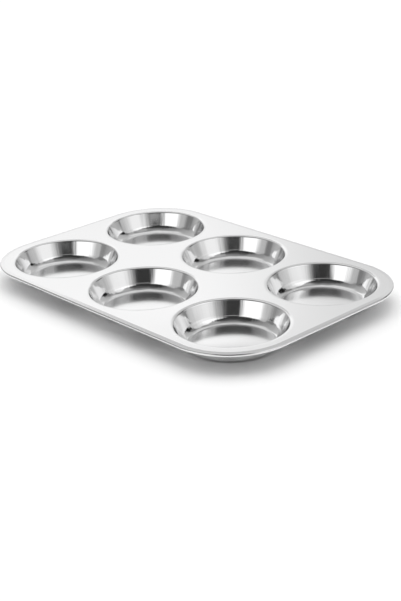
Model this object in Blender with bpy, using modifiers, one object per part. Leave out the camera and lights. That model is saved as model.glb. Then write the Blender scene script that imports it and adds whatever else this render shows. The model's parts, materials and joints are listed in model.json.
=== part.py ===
# Six-cup muffin-top pan, pressed from one sheet of stainless steel with a wired edge.
# Metres, +Z up. X runs along the rows of three cups, Y across them, and the origin
# is on the surface that the pan stands on, under its middle.

from math import acos, cos, pi, radians, sin, tan

import bmesh
import bpy
from mathutils import Matrix

MM = 0.001

# The sheet
SHEET_THICKNESS = 0.5 * MM
DECK_MARGIN = 6.75 * MM
PAN_CORNER_RADIUS = 55.0 * MM

# The cups: how they stand in the deck and their turned shape, on the upper face of the sheet
CUPS_ALONG = 3
CUPS_ACROSS = 2
CUP_GAP_ALONG = 9.4 * MM
CUP_GAP_ACROSS = 11.1 * MM
CUP_MOUTH_RADIUS = 46.2 * MM
CUP_DEPTH = 16.7 * MM
MOUTH_FILLET = 2.2 * MM
WALL_SLOPE = radians(67)
WALL_FOOT_RADIUS = 10.0 * MM
HEEL_SLOPE = radians(24)
HEEL_RADIUS = 1.5 * MM
LAND_WIDTH = 1.0 * MM
PANEL_RISE = 0.5 * MM
PANEL_BEND = 0.8 * MM
PANEL_CROWN = 1.0 * MM

# The rim: a shoulder that falls gently from the deck into a bead rolled round a wire
RIM_WIDTH = 4.0 * MM
RIM_FOLD_RADIUS = 0.9 * MM
SHOULDER_SLOPE = radians(6)
WIRE_DIAMETER = 0.8 * MM
WIRE_CLEARANCE = 0.3 * MM
BEAD_END = radians(-190)

# How finely the round shapes are divided
CUP_STEPS = 36
CORNER_STEPS = 8
MOUTH_STEPS = 2
FOOT_STEPS = 3
HEEL_STEPS = 1
BEND_STEPS = 1
CROWN_STEPS = 2
FOLD_STEPS = 1
BEAD_STEPS = 10
WIRE_ROUNDNESS = 2
WELD_DISTANCE = 0.01 * MM

# Sizes that follow from them
DECK_HEIGHT = CUP_DEPTH + SHEET_THICKNESS
CUP_PITCH_ALONG = 2 * CUP_MOUTH_RADIUS + CUP_GAP_ALONG
CUP_PITCH_ACROSS = 2 * CUP_MOUTH_RADIUS + CUP_GAP_ACROSS
EDGE_TO_CUP_CENTRE = CUP_MOUTH_RADIUS + DECK_MARGIN + RIM_WIDTH
PAN_LENGTH = (CUPS_ALONG - 1) * CUP_PITCH_ALONG + 2 * EDGE_TO_CUP_CENTRE
PAN_WIDTH = (CUPS_ACROSS - 1) * CUP_PITCH_ACROSS + 2 * EDGE_TO_CUP_CENTRE
BEAD_RADIUS = WIRE_DIAMETER / 2 + WIRE_CLEARANCE + SHEET_THICKNESS
SHOULDER_RUN = RIM_WIDTH - BEAD_RADIUS * (1 - sin(SHOULDER_SLOPE)) - RIM_FOLD_RADIUS * sin(SHOULDER_SLOPE)
SHOULDER_DROP = RIM_FOLD_RADIUS * (1 - cos(SHOULDER_SLOPE)) + SHOULDER_RUN * tan(SHOULDER_SLOPE)
BEAD_DROP = SHOULDER_DROP + BEAD_RADIUS * cos(SHOULDER_SLOPE)


def clear_scene():
    for item in list(bpy.data.objects):
        bpy.data.objects.remove(item, do_unlink=True)


def new_collection(name):
    group = bpy.data.collections.new(name)
    bpy.context.scene.collection.children.link(group)
    return group


def steel(name, colour, roughness):
    material = bpy.data.materials.new(name)
    material.use_nodes = True
    shader = material.node_tree.nodes["Principled BSDF"]
    shader.inputs["Base Color"].default_value = (*colour, 1.0)
    shader.inputs["Metallic"].default_value = 1.0
    shader.inputs["Roughness"].default_value = roughness
    return material


def arc(centre, radius, start, end, steps):
    """Points on an arc, both ends included, as (across, up) pairs."""
    angles = [start + (end - start) * i / steps for i in range(steps + 1)]
    return [(centre[0] + radius * cos(a), centre[1] + radius * sin(a)) for a in angles]


def rounded_rectangle(length, width, radius):
    """Corner points of a rounded rectangle in the plane, anticlockwise from +X."""
    reach_x = length / 2 - radius
    reach_y = width / 2 - radius
    points = []
    for quarter, (side_x, side_y) in enumerate(((1, 1), (-1, 1), (-1, -1), (1, -1))):
        start = quarter * pi / 2
        centre = (side_x * reach_x, side_y * reach_y)
        points += arc(centre, radius, start, start + pi / 2, CORNER_STEPS)
    return points


def cup_centres():
    """Cup centres, row by row."""
    for row in range(CUPS_ACROSS):
        for place in range(CUPS_ALONG):
            x = (place - (CUPS_ALONG - 1) / 2) * CUP_PITCH_ALONG
            y = (row - (CUPS_ACROSS - 1) / 2) * CUP_PITCH_ACROSS
            yield x, y


def crest(points, radius, slope_in, slope_out, steps):
    """Carries a section that runs inwards round a bend that bulges up.

    A slope is positive where the section falls on its way in.
    """
    start = pi / 2 + slope_in
    across, up = points[-1]
    centre = (across - radius * cos(start), up - radius * sin(start))
    points += arc(centre, radius, start, pi / 2 + slope_out, steps)[1:]


def trough(points, radius, slope_in, slope_out, steps):
    """Carries a section that runs inwards round a hollow bend."""
    start = slope_in - pi / 2
    across, up = points[-1]
    centre = (across - radius * cos(start), up - radius * sin(start))
    points += arc(centre, radius, start, slope_out - pi / 2, steps)[1:]


def cup_profile():
    """Upper face of a cup from its mouth to its middle, as (radius, height) pairs.

    Mouth fillet, straight wall, a wide bend at the foot of the wall, a tight heel, the
    flat land that the pan stands on, a low step up, and the crowned middle panel.
    """
    points = [(CUP_MOUTH_RADIUS, DECK_HEIGHT)]
    crest(points, MOUTH_FILLET, 0.0, WALL_SLOPE, MOUTH_STEPS)
    heel_height = HEEL_RADIUS * (1 - cos(HEEL_SLOPE))
    foot_height = heel_height + WALL_FOOT_RADIUS * (cos(HEEL_SLOPE) - cos(WALL_SLOPE))
    wall_top_radius, wall_top = points[-1]
    wall_height = wall_top - SHEET_THICKNESS - foot_height
    points.append((wall_top_radius - wall_height / tan(WALL_SLOPE), wall_top - wall_height))
    trough(points, WALL_FOOT_RADIUS, WALL_SLOPE, HEEL_SLOPE, FOOT_STEPS)
    trough(points, HEEL_RADIUS, HEEL_SLOPE, 0.0, HEEL_STEPS)
    points.append((points[-1][0] - LAND_WIDTH, points[-1][1]))
    step_slope = acos(1 - PANEL_RISE / (2 * PANEL_BEND))
    trough(points, PANEL_BEND, 0.0, -step_slope, BEND_STEPS)
    crest(points, PANEL_BEND, -step_slope, 0.0, BEND_STEPS)
    panel_radius, panel_height = points[-1]
    for i in range(1, CROWN_STEPS + 1):
        share = 1 - i / CROWN_STEPS
        points.append((panel_radius * share, panel_height + PANEL_CROWN * (1 - share ** 2)))
    return points


def rim_profile():
    """Upper face of the rim from the flat deck's edge round the bead to its free edge.

    Pairs of (distance out from the flat deck's edge, height over the deck). The shoulder
    is straight from the fold to the bead and touches the bead without a corner.
    """
    shoulder_faces = pi / 2 - SHOULDER_SLOPE
    fold = arc((0.0, -RIM_FOLD_RADIUS), RIM_FOLD_RADIUS, pi / 2, shoulder_faces, FOLD_STEPS)
    bead_centre = (RIM_WIDTH - BEAD_RADIUS, -BEAD_DROP)
    return fold + arc(bead_centre, BEAD_RADIUS, shoulder_faces, BEAD_END, BEAD_STEPS)


def flat_edge_outline():
    """Where the flat deck ends and the rim begins."""
    return rounded_rectangle(PAN_LENGTH - 2 * RIM_WIDTH, PAN_WIDTH - 2 * RIM_WIDTH,
                             PAN_CORNER_RADIUS - RIM_WIDTH)


def curve_object(name, splines, group, closed=True, height=0.0):
    """A flat curve of straight stretches through the given points."""
    curve = bpy.data.curves.new(name, "CURVE")
    curve.dimensions = "2D"
    curve.fill_mode = "NONE"
    for points in splines:
        spline = curve.splines.new("POLY")
        spline.points.add(len(points) - 1)
        for point, (x, y) in zip(spline.points, points):
            point.co = (x, y, 0.0, 1.0)
        spline.use_cyclic_u = closed
    item = bpy.data.objects.new(name, curve)
    item.location.z = height
    group.objects.link(item)
    return item


def as_guide(item):
    item.hide_render = True
    item.display_type = "WIRE"
    return item


def take_mesh(item):
    """The evaluated mesh of an object in world space; the object itself goes."""
    bpy.context.view_layer.update()
    evaluated = item.evaluated_get(bpy.context.evaluated_depsgraph_get())
    mesh = bpy.data.meshes.new_from_object(evaluated)
    mesh.transform(item.matrix_world)
    bpy.data.objects.remove(item, do_unlink=True)
    return mesh


def deck_mesh(group):
    """The flat deck, with a round hole at each cup's mouth."""
    ring = [(CUP_MOUTH_RADIUS * cos(a), CUP_MOUTH_RADIUS * sin(a))
            for a in (2 * pi * i / CUP_STEPS for i in range(CUP_STEPS))]
    holes = [[(x + dx, y + dy) for dx, dy in ring] for x, y in cup_centres()]
    deck = curve_object("deck_outline", [flat_edge_outline()] + holes, group, height=DECK_HEIGHT)
    deck.data.fill_mode = "BOTH"
    return take_mesh(deck)


def cup_mesh(group):
    """One cup, turned from its profile about the Z axis."""
    profile = bpy.data.meshes.new("cup_profile")
    points = [(radius, 0.0, height) for radius, height in cup_profile()]
    profile.from_pydata(points, [(i, i + 1) for i in range(len(points) - 1)], [])
    cup = bpy.data.objects.new("cup_profile", profile)
    group.objects.link(cup)
    turn = cup.modifiers.new("Turn", "SCREW")
    turn.steps = CUP_STEPS
    turn.render_steps = CUP_STEPS
    turn.use_merge_vertices = True
    turn.merge_threshold = WELD_DISTANCE
    return take_mesh(cup)


def rim_mesh(group):
    """The rim's section carried round the flat deck's edge.

    The path runs anticlockwise with its sections upright, so their X points outwards.
    """
    section = as_guide(curve_object("rim_section", [rim_profile()], group, closed=False))
    path = curve_object("rim_path", [flat_edge_outline()], group, height=DECK_HEIGHT)
    path.data.dimensions = "3D"
    path.data.twist_mode = "Z_UP"
    path.data.bevel_mode = "OBJECT"
    path.data.bevel_object = section
    mesh = take_mesh(path)
    bpy.data.objects.remove(section, do_unlink=True)
    return mesh


def make_pan_sheet(group, material):
    """Deck, cups and rim in one skin, thickened downwards to the sheet's gauge."""
    skin = bmesh.new()
    skin.from_mesh(deck_mesh(group))
    skin.from_mesh(rim_mesh(group))
    cup = cup_mesh(group)
    for x, y in cup_centres():
        moved = cup.copy()
        moved.transform(Matrix.Translation((x, y, 0.0)))
        skin.from_mesh(moved)
    bmesh.ops.remove_doubles(skin, verts=skin.verts, dist=WELD_DISTANCE)
    bmesh.ops.recalc_face_normals(skin, faces=skin.faces)
    mesh = bpy.data.meshes.new("pan_sheet")
    skin.to_mesh(mesh)
    skin.free()
    mesh.materials.append(material)
    sheet = bpy.data.objects.new("pan_sheet", mesh)
    group.objects.link(sheet)
    gauge = sheet.modifiers.new("Sheet gauge", "SOLIDIFY")
    gauge.thickness = SHEET_THICKNESS
    gauge.offset = -1.0
    gauge.use_even_offset = True
    return sheet


def make_rim_wire(group, material):
    """The steel wire that the bead is rolled round."""
    loop = rounded_rectangle(PAN_LENGTH - 2 * BEAD_RADIUS, PAN_WIDTH - 2 * BEAD_RADIUS,
                             PAN_CORNER_RADIUS - BEAD_RADIUS)
    wire = curve_object("rim_wire", [loop], group, height=DECK_HEIGHT - BEAD_DROP)
    wire.data.bevel_depth = WIRE_DIAMETER / 2
    wire.data.bevel_resolution = WIRE_ROUNDNESS
    wire.data.materials.append(material)
    return wire


clear_scene()
pan = new_collection("muffin_pan")
make_pan_sheet(pan, steel("polished_stainless", (0.78, 0.78, 0.79), 0.12))
make_rim_wire(pan, steel("drawn_wire", (0.60, 0.60, 0.61), 0.35))
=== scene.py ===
import json
from collections import namedtuple
from math import acos, cos, degrees, pi, radians, sin, tan

import bmesh
import bpy
from mathutils import Matrix, Vector


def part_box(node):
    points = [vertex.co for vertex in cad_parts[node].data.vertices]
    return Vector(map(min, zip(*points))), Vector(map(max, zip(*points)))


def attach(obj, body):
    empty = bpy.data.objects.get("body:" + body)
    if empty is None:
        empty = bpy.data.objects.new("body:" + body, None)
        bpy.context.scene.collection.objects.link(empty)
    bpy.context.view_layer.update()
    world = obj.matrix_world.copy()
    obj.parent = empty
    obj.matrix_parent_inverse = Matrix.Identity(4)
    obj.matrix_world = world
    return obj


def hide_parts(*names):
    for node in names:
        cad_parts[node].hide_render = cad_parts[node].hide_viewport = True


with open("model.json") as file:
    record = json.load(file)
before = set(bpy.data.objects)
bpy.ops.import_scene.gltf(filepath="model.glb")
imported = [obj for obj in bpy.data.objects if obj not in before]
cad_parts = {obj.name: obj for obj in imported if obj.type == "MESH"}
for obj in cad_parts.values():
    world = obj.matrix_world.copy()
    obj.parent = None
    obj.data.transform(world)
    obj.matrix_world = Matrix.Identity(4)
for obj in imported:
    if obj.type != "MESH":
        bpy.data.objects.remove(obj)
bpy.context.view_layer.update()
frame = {"record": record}


# The pressed sheet
# Stainless steel half a millimetre thick, drawn in a press into six shallow round cups with
# raised floors. Its edge is turned down and rolled into a bead, and it is buffed all over.

MM = 0.001
SHEET_THICKNESS = 0.5 * MM
CUP_MOUTH_RADIUS = 46.2 * MM
MOUTH_FILLET = 2.2 * MM
WALL_SLOPE = radians(67)
WALL_FOOT_RADIUS = 10.0 * MM
HEEL_SLOPE = radians(24)
HEEL_RADIUS = 1.5 * MM
LAND_WIDTH = 1.0 * MM
PANEL_RISE = 0.5 * MM
PANEL_BEND = 0.8 * MM
PANEL_CROWN = 1.0 * MM
RIM_WIDTH = 4.0 * MM
RIM_FOLD_RADIUS = 0.9 * MM
SHOULDER_SLOPE = radians(6)
BEAD_RADIUS = 1.2 * MM
BEAD_END = radians(-190)
PAN_CORNER_RADIUS = 55.0 * MM
FLAT_EDGE_SUPPORT = 0.25 * MM

CUP_STEPS = 144
MOUTH_STEPS = 8
FOOT_STEPS = 14
HEEL_STEPS = 6
PANEL_BEND_STEPS = 6
CROWN_STEPS = 6
CORNER_STEPS = 32
FOLD_STEPS = 4
BEAD_STEPS = 32
AXIS_WELD = 0.001 * MM
SEAM_WELD = 0.01 * MM

sheet_low, sheet_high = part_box("pan_sheet")
PAN_LENGTH = sheet_high.x - sheet_low.x
PAN_WIDTH = sheet_high.y - sheet_low.y
mounts = {mount["name"]: mount for mount in frame["record"]["mounts"]}
DECK_HEIGHT = mounts["deck_top"]["pos_m"][2]
cup_boxes = [gap["box_m"] for gap in frame["record"]["physics"]["openings"]
             if gap["name"].startswith("cup_")]
CUP_CENTRES = sorted({(round((low[0] + high[0]) / 2, 5), round((low[1] + high[1]) / 2, 5))
                      for low, high in cup_boxes})
CUP_PITCH_X = max(x for x, y in CUP_CENTRES)
CUP_PITCH_Y = 2 * max(y for x, y in CUP_CENTRES)
SHOULDER_RUN = (RIM_WIDTH - BEAD_RADIUS * (1 - sin(SHOULDER_SLOPE))
                - RIM_FOLD_RADIUS * sin(SHOULDER_SLOPE))
SHOULDER_DROP = RIM_FOLD_RADIUS * (1 - cos(SHOULDER_SLOPE)) + SHOULDER_RUN * tan(SHOULDER_SLOPE)
BEAD_DROP = SHOULDER_DROP + BEAD_RADIUS * cos(SHOULDER_SLOPE)

pan_parts = bpy.data.collections.new("muffin_pan_surfaces")
bpy.context.scene.collection.children.link(pan_parts)


def arc(centre, radius, start, end, steps):
    """Points on an arc, both ends included, as (across, up) pairs."""
    angles = [start + (end - start) * i / steps for i in range(steps + 1)]
    return [(centre[0] + radius * cos(a), centre[1] + radius * sin(a)) for a in angles]


def crest(points, radius, slope_in, slope_out, steps):
    """Carries a section that runs inwards round a bend that bulges up."""
    across, up = points[-1]
    centre = (across - radius * cos(pi / 2 + slope_in), up - radius * sin(pi / 2 + slope_in))
    points += arc(centre, radius, pi / 2 + slope_in, pi / 2 + slope_out, steps)[1:]


def trough(points, radius, slope_in, slope_out, steps):
    """Carries a section that runs inwards round a hollow bend."""
    across, up = points[-1]
    centre = (across - radius * sin(slope_in), up + radius * cos(slope_in))
    points += arc(centre, radius, slope_in - pi / 2, slope_out - pi / 2, steps)[1:]


def cup_profile():
    """Upper face of a cup from the flat deck to the middle of its floor."""
    points = [(CUP_MOUTH_RADIUS + FLAT_EDGE_SUPPORT, DECK_HEIGHT), (CUP_MOUTH_RADIUS, DECK_HEIGHT)]
    crest(points, MOUTH_FILLET, 0.0, WALL_SLOPE, MOUTH_STEPS)
    foot_height = (WALL_FOOT_RADIUS * (cos(HEEL_SLOPE) - cos(WALL_SLOPE))
                   + HEEL_RADIUS * (1 - cos(HEEL_SLOPE)))
    wall_height = points[-1][1] - SHEET_THICKNESS - foot_height
    points.append((points[-1][0] - wall_height / tan(WALL_SLOPE), points[-1][1] - wall_height))
    trough(points, WALL_FOOT_RADIUS, WALL_SLOPE, HEEL_SLOPE, FOOT_STEPS)
    trough(points, HEEL_RADIUS, HEEL_SLOPE, 0.0, HEEL_STEPS)
    points.append((points[-1][0] - LAND_WIDTH, points[-1][1]))
    step_slope = acos(1 - PANEL_RISE / (2 * PANEL_BEND))
    trough(points, PANEL_BEND, 0.0, -step_slope, PANEL_BEND_STEPS)
    crest(points, PANEL_BEND, -step_slope, 0.0, PANEL_BEND_STEPS)
    edge_radius, edge_height = points[-1]
    for i in range(1, CROWN_STEPS + 1):
        share = 1 - i / CROWN_STEPS
        points.append((edge_radius * share, edge_height + PANEL_CROWN * (1 - share ** 2)))
    return points


def rim_profile():
    """Upper face of the rim, as (distance out from the flat deck, height over it)."""
    shoulder_faces = pi / 2 - SHOULDER_SLOPE
    fold = arc((0.0, -RIM_FOLD_RADIUS), RIM_FOLD_RADIUS, pi / 2, shoulder_faces, FOLD_STEPS)
    bead = arc((RIM_WIDTH - BEAD_RADIUS, -BEAD_DROP), BEAD_RADIUS, shoulder_faces, BEAD_END, BEAD_STEPS)
    return [(-FLAT_EDGE_SUPPORT, 0.0)] + fold + bead


def rounded_rectangle(length, width, radius):
    """Corner points of a rounded rectangle, anticlockwise from +X."""
    points = []
    for quarter, (side_x, side_y) in enumerate(((1, 1), (-1, 1), (-1, -1), (1, -1))):
        centre = (side_x * (length / 2 - radius), side_y * (width / 2 - radius))
        points += arc(centre, radius, quarter * pi / 2, (quarter + 1) * pi / 2, CORNER_STEPS)
    return points


def flat_edge(inset):
    """The outline at a distance inside the pan's outer edge."""
    return rounded_rectangle(PAN_LENGTH - 2 * inset, PAN_WIDTH - 2 * inset,
                             PAN_CORNER_RADIUS - inset)


def curve_piece(name, loops, closed=True, height=0.0):
    """A curve through each of the loops, laid flat at a height."""
    curve = bpy.data.curves.new(name, "CURVE")
    curve.dimensions = "2D"
    curve.fill_mode = "NONE"
    for loop in loops:
        spline = curve.splines.new("POLY")
        spline.points.add(len(loop) - 1)
        for point, (x, y) in zip(spline.points, loop):
            point.co = (x, y, 0.0, 1.0)
        spline.use_cyclic_u = closed
    piece = bpy.data.objects.new(name, curve)
    piece.location.z = height
    pan_parts.objects.link(piece)
    return piece


def taken_mesh(piece):
    """The evaluated mesh of a helper object, which then goes."""
    bpy.context.view_layer.update()
    evaluated = piece.evaluated_get(bpy.context.evaluated_depsgraph_get())
    mesh = bpy.data.meshes.new_from_object(evaluated)
    mesh.transform(piece.matrix_world)
    bpy.data.objects.remove(piece, do_unlink=True)
    return mesh


def deck_mesh():
    """The flat deck, with a round hole for each cup."""
    reach = CUP_MOUTH_RADIUS + FLAT_EDGE_SUPPORT
    angles = [2 * pi * i / CUP_STEPS for i in range(CUP_STEPS)]
    mouths = [[(x + reach * cos(a), y + reach * sin(a)) for a in angles] for x, y in CUP_CENTRES]
    deck = curve_piece("deck", [flat_edge(RIM_WIDTH + FLAT_EDGE_SUPPORT)] + mouths,
                       height=DECK_HEIGHT)
    deck.data.fill_mode = "BOTH"
    return taken_mesh(deck)


def cup_mesh():
    """One cup, turned from its section about the z axis."""
    profile = bpy.data.meshes.new("cup")
    points = [(radius, 0.0, height) for radius, height in cup_profile()]
    profile.from_pydata(points, [(i, i + 1) for i in range(len(points) - 1)], [])
    cup = bpy.data.objects.new("cup", profile)
    pan_parts.objects.link(cup)
    turn = cup.modifiers.new("Turn", "SCREW")
    turn.steps = CUP_STEPS
    turn.render_steps = CUP_STEPS
    turn.use_merge_vertices = True
    turn.merge_threshold = AXIS_WELD
    return taken_mesh(cup)


def rim_mesh():
    """The shoulder and the bead, swept round the edge of the deck."""
    section = curve_piece("rim_section", [rim_profile()], closed=False)
    path = curve_piece("rim_path", [flat_edge(RIM_WIDTH)], height=DECK_HEIGHT)
    path.data.dimensions = "3D"
    path.data.twist_mode = "Z_UP"
    path.data.bevel_mode = "OBJECT"
    path.data.bevel_object = section
    mesh = taken_mesh(path)
    bpy.data.objects.remove(section, do_unlink=True)
    return mesh


def pan_skin():
    """Deck, cups and rim welded into one skin and thickened to the sheet's gauge."""
    skin = bmesh.new()
    skin.from_mesh(deck_mesh())
    skin.from_mesh(rim_mesh())
    cup = cup_mesh()
    for x, y in CUP_CENTRES:
        placed = cup.copy()
        placed.transform(Matrix.Translation((x, y, 0.0)))
        skin.from_mesh(placed)
    bmesh.ops.remove_doubles(skin, verts=skin.verts, dist=SEAM_WELD)
    bmesh.ops.recalc_face_normals(skin, faces=skin.faces)
    mesh = bpy.data.meshes.new("pan_skin")
    skin.to_mesh(mesh)
    skin.free()
    mesh.shade_smooth()
    piece = bpy.data.objects.new("pan_skin", mesh)
    pan_parts.objects.link(piece)
    gauge = piece.modifiers.new("Gauge", "SOLIDIFY")
    gauge.thickness = SHEET_THICKNESS
    gauge.offset = -1.0
    gauge.use_even_offset = True
    shading = piece.modifiers.new("Flat faces shade flat", "WEIGHTED_NORMAL")
    shading.keep_sharp = True
    return piece


NOISE_ROUGHNESS = 0.55


class Signal:
    """A socket of a shader. Its operators add Math nodes, and add() makes any other node."""

    def __init__(self, tree, socket=None):
        self.tree = tree
        self.socket = socket

    def add(self, kind, settings=None, inputs=None, output=0):
        """One new node: its settings first, then its sockets' values or links."""
        node = self.tree.nodes.new(kind)
        for name, value in (settings or {}).items():
            setattr(node, name, value)
        for name, value in (inputs or {}).items():
            if isinstance(value, Signal):
                self.tree.links.new(value.socket, node.inputs[name])
            else:
                node.inputs[name].default_value = value
        return Signal(self.tree, node.outputs[output] if node.outputs else None)

    def math(self, operation, *values):
        inputs = dict(enumerate((self,) + values))
        return self.add("ShaderNodeMath", {"operation": operation}, inputs)

    def __add__(self, other):
        return self.math("ADD", other)

    def __radd__(self, other):
        return self.math("ADD", other)

    def __mul__(self, other):
        return self.math("MULTIPLY", other)

    def __rmul__(self, other):
        return self.math("MULTIPLY", other)

    def __sub__(self, other):
        return self.math("SUBTRACT", other)

    def __rsub__(self, other):
        return self * -1.0 + other

    def __truediv__(self, other):
        return self.math("DIVIDE", other)

    def __pow__(self, other):
        return self.math("POWER", other)

    def rises(self, start, end):
        """0 below start and 1 above end, with a smooth step between."""
        return self.add("ShaderNodeMapRange", {"interpolation_type": "SMOOTHSTEP"},
                        {"Value": self, "From Min": start, "From Max": end})

    def between(self, start, end, edge):
        """1 from start to end, with soft edges of the given width."""
        return self.rises(start - edge / 2, start + edge / 2) * (
            1 - self.rises(end - edge / 2, end + edge / 2))

    def towards(self, other, share):
        """This value, changed to another by a share from 0 to 1."""
        return self + (other - self) * share

    def vector(self, x, y, z):
        return self.add("ShaderNodeCombineXYZ", None, {0: x, 1: y, 2: z})

    def numbers(self):
        """The three numbers of a vector."""
        return [self.add("ShaderNodeSeparateXYZ", None, {0: self}, axis) for axis in "XYZ"]

    def noise(self, place, scale=1.0, detail=2.0):
        inputs = {"Vector": place, "Scale": scale, "Detail": detail, "Roughness": NOISE_ROUGHNESS}
        return self.add("ShaderNodeTexNoise", None, inputs)

    def mixed(self, first, second, share):
        """A colour between two, by a share from 0 to 1."""
        # A Mix node takes its colours at sockets 6 and 7, and gives the mixed one at 2
        return self.add("ShaderNodeMix", {"data_type": "RGBA"}, {0: share, 6: first, 7: second}, 2)

    def bump(self, relief, depth, normal=None, strength=1.0):
        """The normal over a relief of the given depth, on top of an earlier normal."""
        inputs = {"Height": relief, "Distance": depth, "Strength": strength}
        if normal is not None:
            inputs["Normal"] = normal
        return self.add("ShaderNodeBump", None, inputs)

    def feeds(self, socket):
        self.tree.links.new(self.socket, socket)


def new_metal(name):
    """A bare metal, with its shader and a signal to build its nodes from."""
    material = bpy.data.materials.new(name)
    material.use_nodes = True
    shader = material.node_tree.nodes["Principled BSDF"]
    shader.inputs["Metallic"].default_value = 1.0
    return material, shader, Signal(material.node_tree)


SHADED_STEEL = (0.90, 0.90, 0.905, 1.0)
BRIGHT_STEEL = (0.935, 0.935, 0.935, 1.0)
DECK_ROUGHNESS = 0.17
WALL_ROUGHNESS = 0.09
PANEL_ROUGHNESS = 0.155
PANEL_RADII = (29.5 * MM, 31.5 * MM)
FOOT_RADII = (34.0 * MM, 38.0 * MM)
MOUTH_ROLL_RADII = (43.7 * MM, 47.7 * MM)
MOUTH_ROLL_DROP = 0.35 * MM

# How often a pattern repeats: along and across the grain, round a cup and out from its middle
SMUDGE_SCALE = 35.0
GRAIN_ALONG = 40.0
GRAIN_ACROSS = 2500.0
RINGS_ROUND = 1.5
WAVES_ROUND = 3.0
WAVES_OUT = 70.0
SPOKES_ROUND = 9.0
SPOKES_OUT = 40.0

# Each column and row of cups takes its waves and spokes from another part of the noise
COLUMN_SHIFT = 2.3
ROW_SHIFT = 1.7

SMUDGE_DULLS = 0.05
GRAIN_DULLS = 0.03
SMUDGE_SHADES = 0.6
GRAIN_SHADES = 0.3
WAVE_DEPTH = 0.5 * MM
SPOKE_DEPTH = 0.12 * MM
GRAIN_DEPTH = 0.01 * MM
GRAIN_STRENGTH = 0.25


def polished_stainless():
    """Buffed steel: mirror-like on the cup walls, satin on the deck and the cup floors."""
    material, shader, tree = new_metal("polished_stainless")
    place = tree.add("ShaderNodeTexCoord", output="Object")
    x, y, z = place.numbers()

    # The nearest cup, how far its middle is, and which part of the cup the point is on
    column = (x / CUP_PITCH_X).math("ROUND").math("MINIMUM", 1.0).math("MAXIMUM", -1.0)
    cup_x = x - column * CUP_PITCH_X
    cup_y = y.math("ABSOLUTE") - CUP_PITCH_Y / 2
    radius = (cup_x * cup_x + cup_y * cup_y).math("SQRT")
    in_cup = 1 - radius.rises(CUP_MOUTH_RADIUS - MOUTH_FILLET, CUP_MOUTH_RADIUS)
    on_panel = 1 - radius.rises(*PANEL_RADII)
    on_wall = radius.rises(*FOOT_RADII) * in_cup

    # Soft blotches, the straight grain of the rolled deck, and in the cups the rings left by
    # the buffing wheel and the waves and faint spokes left by the drawing of the wall
    smudge = tree.noise(place, scale=SMUDGE_SCALE, detail=4.0)
    deck_grain = tree.noise(tree.vector(x * GRAIN_ALONG, y * GRAIN_ACROSS, z * GRAIN_ACROSS))
    turn_x = cup_x / radius
    turn_y = cup_y / radius
    rings = tree.vector(turn_x * RINGS_ROUND, turn_y * RINGS_ROUND, radius * GRAIN_ACROSS)
    grain = deck_grain.towards(tree.noise(rings), in_cup)
    turn_x = turn_x + column * COLUMN_SHIFT
    turn_y = turn_y + y.math("SIGN") * ROW_SHIFT
    spokes = tree.noise(tree.vector(turn_x * SPOKES_ROUND, turn_y * SPOKES_ROUND, radius * SPOKES_OUT),
                        detail=3.0)
    waves = tree.noise(tree.vector(turn_x * WAVES_ROUND, turn_y * WAVES_ROUND, radius * WAVES_OUT),
                       detail=1.0)

    roughness = in_cup * (WALL_ROUGHNESS - DECK_ROUGHNESS) + DECK_ROUGHNESS
    roughness = roughness.towards(PANEL_ROUGHNESS, on_panel)
    roughness = roughness + (smudge - 0.5) * SMUDGE_DULLS + (grain - 0.5) * GRAIN_DULLS
    roughness.feeds(shader.inputs["Roughness"])
    brightness = (smudge - 0.5) * SMUDGE_SHADES + (grain - 0.5) * GRAIN_SHADES + 0.5
    tree.mixed(SHADED_STEEL, BRIGHT_STEEL, brightness).feeds(shader.inputs["Base Color"])

    # The deck rolls softly over into each cup before the tighter bend of the mouth
    roll = tree.bump(radius.rises(*MOUTH_ROLL_RADII), MOUTH_ROLL_DROP)
    waved = tree.bump(waves * on_wall, WAVE_DEPTH, roll)
    rippled = tree.bump(spokes * on_wall, SPOKE_DEPTH, waved)
    grained = tree.bump(grain, GRAIN_DEPTH, rippled, GRAIN_STRENGTH)
    grained.feeds(shader.inputs["Normal"])
    return material


skin = pan_skin()
skin.data.materials.append(polished_stainless())
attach(skin, "root")
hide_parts("pan_sheet")


# The rim wire
# A hard-drawn steel wire inside the rolled bead keeps the edge stiff. It shows only from
# below, where the bead doesn't quite close on the sheet.

WIRE_DIAMETER = 0.8 * MM
WIRE_STEPS = 6
WIRE_DARK = (0.50, 0.50, 0.51, 1.0)
WIRE_PALE = (0.66, 0.66, 0.67, 1.0)
WIRE_ROUGHNESS = 0.28
MARKS_DULL = 0.2
MARKS_SCALE = 900.0


def rim_wire():
    """One closed loop of wire along the middle of the bead."""
    loop = flat_edge(BEAD_RADIUS)
    wire = curve_piece("rim_wire_round", [loop], height=DECK_HEIGHT - BEAD_DROP)
    wire.data.bevel_depth = WIRE_DIAMETER / 2
    wire.data.bevel_resolution = WIRE_STEPS
    return wire


def drawn_wire():
    """Dull drawn steel with fine marks along the wire."""
    material, shader, tree = new_metal("drawn_wire")
    place = tree.add("ShaderNodeTexCoord", output="Object")
    marks = tree.noise(place, scale=MARKS_SCALE, detail=3.0)
    (marks * MARKS_DULL + WIRE_ROUGHNESS).feeds(shader.inputs["Roughness"])
    tree.mixed(WIRE_DARK, WIRE_PALE, marks).feeds(shader.inputs["Base Color"])
    return material


wire = rim_wire()
wire.data.materials.append(drawn_wire())
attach(wire, "root")
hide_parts("rim_wire")


# The floor
# Matt white card under the pan, wide enough to fill the picture. The sky sets its light, so
# that the open card is just white and keeps the pan's soft shadow.

FLOOR_RADIUS = 4.0
FLOOR_STEPS = 96
FLOOR_DROP = 0.02 * MM
CARD = (0.90, 0.90, 0.90, 1.0)
CARD_ROUGHNESS = 0.9


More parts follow.
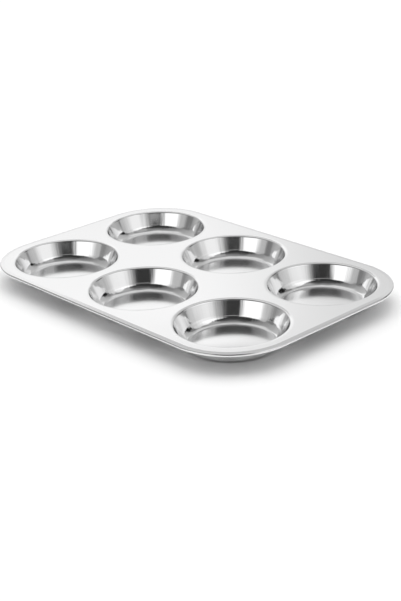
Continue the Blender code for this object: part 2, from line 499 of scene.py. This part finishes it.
def white_card():
    """Plain matt card without gloss."""
    material = bpy.data.materials.new("white_card")
    material.use_nodes = True
    shader = material.node_tree.nodes["Principled BSDF"]
    shader.inputs["Base Color"].default_value = CARD
    shader.inputs["Roughness"].default_value = CARD_ROUGHNESS
    shader.inputs["Specular IOR Level"].default_value = 0.0
    return material


def floor_card():
    """A wide disc of card just under the pan."""
    card = bmesh.new()
    bmesh.ops.create_circle(card, cap_ends=True, radius=FLOOR_RADIUS, segments=FLOOR_STEPS)
    mesh = bpy.data.meshes.new("floor")
    card.to_mesh(mesh)
    card.free()
    mesh.materials.append(white_card())
    piece = bpy.data.objects.new("floor", mesh)
    bpy.context.scene.collection.objects.link(piece)
    piece.location.z = -FLOOR_DROP
    return piece


floor_card()


# The camera
# It looks down from 23 degrees over the pan's near right corner, nearly level, through a
# long lens. Its frame is 401 by 601 points.

FRAME_HEIGHT = 601
FOCAL_POINTS = 1240.4
SENSOR_HEIGHT = 36.0
CAMERA_TURN = 0.82790
CAMERA_RISE = 0.40080
CAMERA_ROLL = -0.0390
CAMERA_DISTANCE = 981.2 * MM
AIM = Vector((54.4 * MM, -39.2 * MM, DECK_HEIGHT))

# The camera's own directions before its roll: to its right, back from what it sees, and up
side = Vector((cos(CAMERA_TURN), sin(CAMERA_TURN), 0.0))
back = Vector((sin(CAMERA_TURN) * cos(CAMERA_RISE), -cos(CAMERA_TURN) * cos(CAMERA_RISE),
               sin(CAMERA_RISE)))
above = back.cross(side)


def photo_camera():
    """A camera at its distance from the place that it looks at, turned by its roll."""
    camera = bpy.data.objects.new("camera", bpy.data.cameras.new("camera"))
    bpy.context.scene.collection.objects.link(camera)
    camera.data.sensor_fit = "VERTICAL"
    camera.data.sensor_height = SENSOR_HEIGHT
    camera.data.lens = FOCAL_POINTS / FRAME_HEIGHT * SENSOR_HEIGHT
    right = side * cos(CAMERA_ROLL) + above * sin(CAMERA_ROLL)
    up = above * cos(CAMERA_ROLL) - side * sin(CAMERA_ROLL)
    pose = Matrix((right, up, back)).transposed().to_4x4()
    pose.translation = AIM + back * CAMERA_DISTANCE
    camera.matrix_world = pose
    return camera


bpy.context.scene.camera = photo_camera()


# The studio
# A grey cloth tent, with a white sweep behind the pan, and towards the camera a dark room
# between two soft lights. Only polished metal sees it: the card is lit by the sky.

TENT_RADIUS = 1.2
TENT_STEPS = 5
WHITE = 1.0

# Areas and ramps of the tent go by bearing, in degrees to the right of the camera, and by
# height, in degrees up
Area = namedtuple("Area", "light left right side_edge low high height_edge")
Ramp = namedtuple("Ramp", "by start end")

CLOTH = 0.24
CLOTH_GRADE = 0.40
CLOTH_OVERHEAD = Ramp(0.06, start=45, end=75)
FAR_CEILING = Area(0.74, left=123, right=210, side_edge=30, low=48, high=82, height_edge=10)
DIM_CEILING = Area(0.08, left=-62, right=42, side_edge=36, low=30, high=71.5, height_edge=5)
DARK_ROOM = Area(0.035, left=-62, right=106, side_edge=12, low=-90, high=61.5, height_edge=7)
DARK_ROOM_PALES = Ramp(0.14, start=30, end=90)
FAR_DOOR = Area(0.36, left=-17, right=17, side_edge=10, low=29, high=33.5, height_edge=4)
LOW_CARD = Area(0.80, left=-85, right=112, side_edge=30, low=8, high=15.5, height_edge=4)
LEFT_SPILL = Area(0.50, left=-88, right=-66, side_edge=10, low=10, high=42, height_edge=10)
LEFT_LIGHT = Area(1.15, left=-67, right=-23, side_edge=19, low=12, high=39.5, height_edge=9)
LEFT_FLAP = Area(0.19, left=-108, right=-91, side_edge=8, low=10, high=29, height_edge=8)
RIGHT_SPILL = Area(0.40, left=52, right=100, side_edge=28, low=50, high=72, height_edge=8)
STAND_PALE = Area(0.20, left=107, right=124, side_edge=7, low=11, high=46, height_edge=8)
STAND_BLACK = Area(0.015, left=107, right=123, side_edge=7, low=13, high=32, height_edge=5)
SWEEP = Area(WHITE, left=149, right=190, side_edge=18, low=-90, high=30, height_edge=2)
SWEEP_BRIGHTENS = Ramp(0.12, start=22, end=27)
SWEEP_SEAM = Area(0.56, left=-179, right=-163, side_edge=4, low=30, high=44, height_edge=3)
LEFT_SCREEN = Area(0.95, left=-160, right=-147, side_edge=5, low=20, high=47, height_edge=6)


def covered(area, bearing, height):
    """1 inside an area of the tent and 0 outside it, with soft edges."""
    return (bearing.between(area.left, area.right, area.side_edge)
            * height.between(area.low, area.high, area.height_edge))


def hung(light, areas, bearing, height):
    """The tent's light with plain areas hung in it, one in front of the other."""
    for area in areas:
        light = light.towards(area.light, covered(area, bearing, height))
    return light


def change(ramp, where):
    """A change that comes in over a range of bearings or heights."""
    return where.rises(ramp.start, ramp.end) * ramp.by


RIGHT_LIGHT = 0.68
RIGHT_LIGHT_MIDDLE = Ramp(0.25, start=8, end=22)
RIGHT_LIGHT_HIGH = Ramp(0.20, start=33, end=41)
RIGHT_LIGHT_FADES = Ramp(0.40, start=66, end=100)
RIGHT_INNER_SIDE = (7, 49)
RIGHT_OUTER_SIDE = (102, 114)
RIGHT_LOWER_EDGE = (6, 12)
RIGHT_UPPER_EDGE = (52, 56)
RIGHT_EDGE_LEAN = 0.12
RIGHT_EDGE_PIVOT = 60
RIGHT_EDGE_DROP = Ramp(8, start=80, end=100)


def with_right_light(light, bearing, height):
    """The right light fades in from its inner side, and its upper edge leans."""
    glow = change(RIGHT_LIGHT_MIDDLE, height) + change(RIGHT_LIGHT_HIGH, height) + RIGHT_LIGHT
    glow = glow * (1 - change(RIGHT_LIGHT_FADES, bearing))
    leaning = height - (bearing - RIGHT_EDGE_PIVOT) * RIGHT_EDGE_LEAN + change(RIGHT_EDGE_DROP, bearing)
    shown = bearing.rises(*RIGHT_INNER_SIDE) * (1 - bearing.rises(*RIGHT_OUTER_SIDE))
    shown = shown * height.rises(*RIGHT_LOWER_EDGE) * (1 - leaning.rises(*RIGHT_UPPER_EDGE))
    return light.towards(glow, shown)


SIDE_SHADE = 0.27
SIDE_SHADE_BEGINS = (149, 151)
SIDE_SHADE_ENDS = (163, 181)
SIDE_SHADE_HEIGHTS = (10, 31)
SIDE_SHADE_EDGE = 4
FOOT_SHADE = 0.20
FOOT_SHADE_BEARINGS = (120, 150)
FOOT_SHADE_ENDS = (9, 19)


def sweep_shade(bearing, height):
    """How much darker the sweep is on its right side and at its foot."""
    on_side = bearing.rises(*SIDE_SHADE_BEGINS) * (1 - bearing.rises(*SIDE_SHADE_ENDS))
    on_side = on_side * height.between(*SIDE_SHADE_HEIGHTS, SIDE_SHADE_EDGE)
    at_foot = bearing.math("ABSOLUTE").rises(*FOOT_SHADE_BEARINGS)
    at_foot = at_foot * (1 - height.rises(*FOOT_SHADE_ENDS))
    return on_side * SIDE_SHADE + at_foot * FOOT_SHADE


def tent_pattern(tree):
    """Light from each point of the tent: its cloth, then what hangs in front of that."""
    x, y, z = tree.add("ShaderNodeTexCoord", output="Object").numbers()
    towards_camera = x * sin(CAMERA_TURN) - y * cos(CAMERA_TURN)
    to_right = x * cos(CAMERA_TURN) + y * sin(CAMERA_TURN)
    bearing = to_right.math("ARCTAN2", towards_camera) * degrees(1)
    height = (z / TENT_RADIUS).math("ARCSINE") * degrees(1)
    aside = bearing.math("ABSOLUTE")

    # What is alike on both sides goes by the bearing without its sign
    light = CLOTH - towards_camera / TENT_RADIUS * CLOTH_GRADE + change(CLOTH_OVERHEAD, height)
    light = hung(light, [FAR_CEILING], aside, height)
    light = hung(light, [DIM_CEILING], bearing, height)
    dark = change(DARK_ROOM_PALES, bearing) + DARK_ROOM.light
    light = light.towards(dark, covered(DARK_ROOM, bearing, height))
    light = hung(light, [FAR_DOOR, LOW_CARD, LEFT_SPILL, LEFT_LIGHT, LEFT_FLAP], bearing, height)
    light = hung(light, [RIGHT_SPILL], bearing, height)
    light = with_right_light(light, bearing, height)
    light = hung(light, [STAND_PALE, STAND_BLACK], bearing, height)
    white = change(SWEEP_BRIGHTENS, height) + SWEEP.light
    light = light.towards(white, covered(SWEEP, aside, height))
    light = hung(light, [SWEEP_SEAM, LEFT_SCREEN], bearing, height)
    return light * (1 - sweep_shade(bearing, height))


def tent_cloth():
    """Glows by the tent's pattern. It is sampled only where a mirrored ray meets it."""
    material = bpy.data.materials.new("tent_cloth")
    material.use_nodes = True
    material.node_tree.nodes.clear()
    material.cycles.emission_sampling = "NONE"
    tree = Signal(material.node_tree)
    glow = tree.add("ShaderNodeEmission", None, {"Color": tent_pattern(tree)})
    tree.add("ShaderNodeOutputMaterial", None, {"Surface": glow})
    return material


def studio_tent():
    """A sphere about the middle of the deck, hidden from all but mirrored rays."""
    cloth = bmesh.new()
    bmesh.ops.create_icosphere(cloth, subdivisions=TENT_STEPS, radius=TENT_RADIUS)
    mesh = bpy.data.meshes.new("tent")
    cloth.to_mesh(mesh)
    cloth.free()
    mesh.materials.append(tent_cloth())
    tent = bpy.data.objects.new("tent", mesh)
    bpy.context.scene.collection.objects.link(tent)
    tent.location.z = DECK_HEIGHT
    tent.visible_camera = False
    tent.visible_diffuse = False
    tent.visible_shadow = False
    tent.visible_transmission = False
    return tent


SKY_EVEN = 0.20
SKY_PEAK = 2.0
SKY_TILT = radians(15)
SKY_AXIS = (-sin(CAMERA_TURN) * sin(SKY_TILT), cos(CAMERA_TURN) * sin(SKY_TILT), cos(SKY_TILT))


def sky():
    """White to the camera, and to the card a soft light from high up behind the pan."""
    world = bpy.data.worlds.new("sky")
    bpy.context.scene.world = world
    world.use_nodes = True
    world.cycles.sampling_method = "NONE"
    world.node_tree.nodes.clear()
    tree = Signal(world.node_tree)
    direction = tree.add("ShaderNodeTexCoord", output="Generated")
    to_peak = tree.add("ShaderNodeVectorMath", {"operation": "DOT_PRODUCT"},
                       {0: direction, 1: SKY_AXIS}, "Value")
    soft_light = to_peak.math("MAXIMUM", 0.0) ** 2.0 * SKY_PEAK + SKY_EVEN
    camera_ray = tree.add("ShaderNodeLightPath", None, None, "Is Camera Ray")
    light = tree.add("ShaderNodeBackground", None, {"Color": soft_light.towards(WHITE, camera_ray)})
    tree.add("ShaderNodeOutputWorld", None, {"Surface": light})


studio_tent()
sky()
bpy.context.scene.view_settings.view_transform = "Standard"
